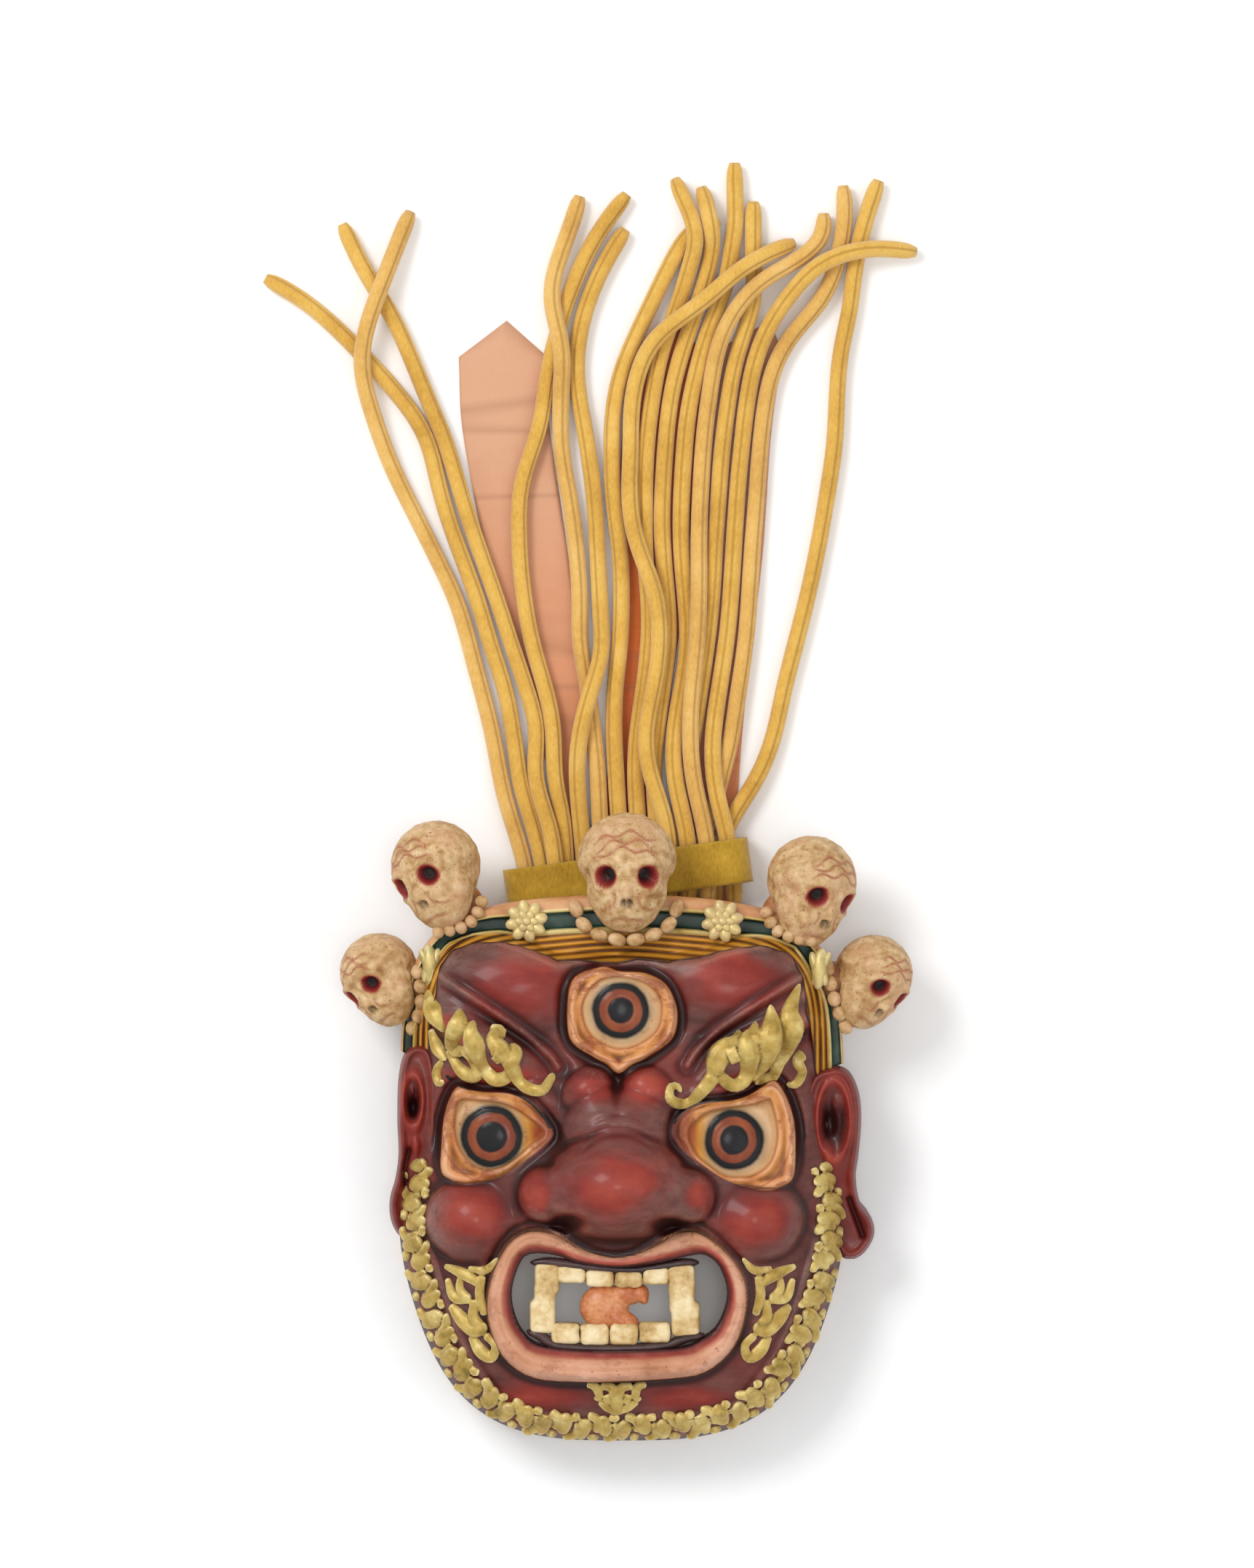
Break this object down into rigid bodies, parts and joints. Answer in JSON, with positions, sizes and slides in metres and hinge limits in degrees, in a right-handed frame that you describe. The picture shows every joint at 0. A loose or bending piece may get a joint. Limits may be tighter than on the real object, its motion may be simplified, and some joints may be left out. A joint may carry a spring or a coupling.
{
  "type": "tibetan cham mask",
  "caption": "Carved, painted wooden dance mask of a wrathful protector with a third eye, skull crown, gilt brows and beard, felt hair cords and cloth ribbons, lying face up.",
  "frame": {"origin": "centre of the box round the mask, hair band and ribbons, at the height of the back rim that it lies on", "axes": "+X towards the mask's left ear (the viewer's right), +Y from the chin towards the hair, +Z out of the face"},
  "size_m": [0.3763, 0.7339, 0.132],
  "materials": {
    "painted_wood": "oxblood, gold, bone and ochre paint under worn varnish",
    "felt": "matt mustard wool felt",
    "felt_pale": "matt pale yellow wool felt",
    "felt_band": "matt olive mustard wool felt",
    "ribbon_peach": "faded peach plain-weave cloth",
    "ribbon_orange": "deep orange plain-weave cloth"
  },
  "bodies": {
    "root": {"mask": "painted_wood", "hair_band": "felt_band", "ribbon_left": "ribbon_peach", "ribbon_middle": "ribbon_orange", "ribbon_right": "ribbon_peach", "hair_cord_01": "felt", "hair_cord_02": "felt", "hair_cord_03": "felt_pale", "hair_cord_04": "felt", "hair_cord_05": "felt", "hair_cord_06": "felt", "hair_cord_07": "felt_pale", "hair_cord_08": "felt", "hair_cord_09": "felt", "hair_cord_10": "felt", "hair_cord_11": "felt_pale", "hair_cord_12": "felt", "hair_cord_13": "felt", "hair_cord_14": "felt", "hair_cord_15": "felt_pale", "hair_cord_16": "felt"}
  },
  "joints": []
}
